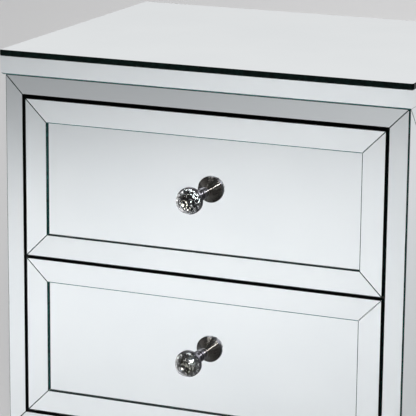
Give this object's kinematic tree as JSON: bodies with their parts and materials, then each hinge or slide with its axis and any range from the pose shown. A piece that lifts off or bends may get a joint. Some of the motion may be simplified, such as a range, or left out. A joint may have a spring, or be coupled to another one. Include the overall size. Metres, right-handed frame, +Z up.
{
  "type": "mirrored end table",
  "caption": "Mirrored end table: a glass-faced case on tapered legs with drawers that slide out by faceted crystal knobs, bordered by mitred mirror strips.",
  "frame": {"origin": "on the floor, under the middle of the box round the table, knobs included", "axes": "+Z up, -Y out of the drawer fronts, +X to the right of someone facing them"},
  "size_m": [0.4204, 0.377, 0.5755],
  "materials": {
    "mirror_glass": "silvered float glass, polished edges with a dark green cast",
    "black_board": "MDF painted satin black",
    "hardboard": "black faced hardboard",
    "drawer_board": "boards faced in black, with a fine grain",
    "raw_wood": "bare beech",
    "leg_finish": "silver leaf paint over wood",
    "chrome": "turned black chrome, polished on the cone",
    "crystal": "clear cut crystal with flat facets, backed with foil",
    "zinc_steel": "zinc plated steel",
    "nylon": "black nylon"
  },
  "bodies": {
    "case": {"back_panel": "hardboard", "bottom_panel": "black_board", "case_dowels": "raw_wood", "case_screws": "zinc_steel", "case_slides": "zinc_steel", "face_rails": "black_board", "face_stiles": "black_board", "foot_glides": "nylon", "frame_mirror_bottom": "mirror_glass", "frame_mirror_left": "mirror_glass", "frame_mirror_right": "mirror_glass", "frame_mirror_top": "mirror_glass", "leg_back_left": "leg_finish", "leg_back_right": "leg_finish", "leg_bolts": "zinc_steel", "leg_front_left": "leg_finish", "leg_front_right": "leg_finish", "leg_inserts": "zinc_steel", "side_mirror_left": "mirror_glass", "side_mirror_right": "mirror_glass", "side_panel_left": "black_board", "side_panel_right": "black_board", "side_strips_left": "mirror_glass", "side_strips_right": "mirror_glass", "top_board": "black_board", "top_edge_mirror_front": "mirror_glass", "top_edge_mirror_left": "mirror_glass", "top_edge_mirror_right": "mirror_glass", "top_mirror": "mirror_glass"},
    "upper_drawer": {"upper_box_back": "drawer_board", "upper_box_bottom": "drawer_board", "upper_box_left": "drawer_board", "upper_box_right": "drawer_board", "upper_drawer_slides": "zinc_steel", "upper_front_board": "black_board", "upper_front_mirror": "mirror_glass", "upper_knob_base": "chrome", "upper_knob_crystal": "crystal", "upper_knob_screw": "zinc_steel", "upper_strip_bottom": "mirror_glass", "upper_strip_left": "mirror_glass", "upper_strip_right": "mirror_glass", "upper_strip_top": "mirror_glass"},
    "lower_drawer": {"lower_box_back": "drawer_board", "lower_box_bottom": "drawer_board", "lower_box_left": "drawer_board", "lower_box_right": "drawer_board", "lower_drawer_slides": "zinc_steel", "lower_front_board": "black_board", "lower_front_mirror": "mirror_glass", "lower_knob_base": "chrome", "lower_knob_crystal": "crystal", "lower_knob_screw": "zinc_steel", "lower_strip_bottom": "mirror_glass", "lower_strip_left": "mirror_glass", "lower_strip_right": "mirror_glass", "lower_strip_top": "mirror_glass"},
    "upper_ball_cages": {"upper_ball_cages": "zinc_steel"},
    "lower_ball_cages": {"lower_ball_cages": "zinc_steel"}
  },
  "joints": [
    {"name": "upper_drawer_slide", "type": "slide", "parent": "case", "child": "upper_drawer", "axis": [0, -1, 0], "range_m": [0, 0.22]},
    {"name": "upper_cage_slide", "type": "slide", "parent": "case", "child": "upper_ball_cages", "axis": [0, -1, 0], "range_m": [0, 0.11]},
    {"name": "lower_drawer_slide", "type": "slide", "parent": "case", "child": "lower_drawer", "axis": [0, -1, 0], "range_m": [0, 0.22]},
    {"name": "lower_cage_slide", "type": "slide", "parent": "case", "child": "lower_ball_cages", "axis": [0, -1, 0], "range_m": [0, 0.11]}
  ],
  "couplings": [
    {"joint": "upper_cage_slide", "follows": "upper_drawer_slide", "ratio": 0.5},
    {"joint": "lower_cage_slide", "follows": "lower_drawer_slide", "ratio": 0.5}
  ]
}
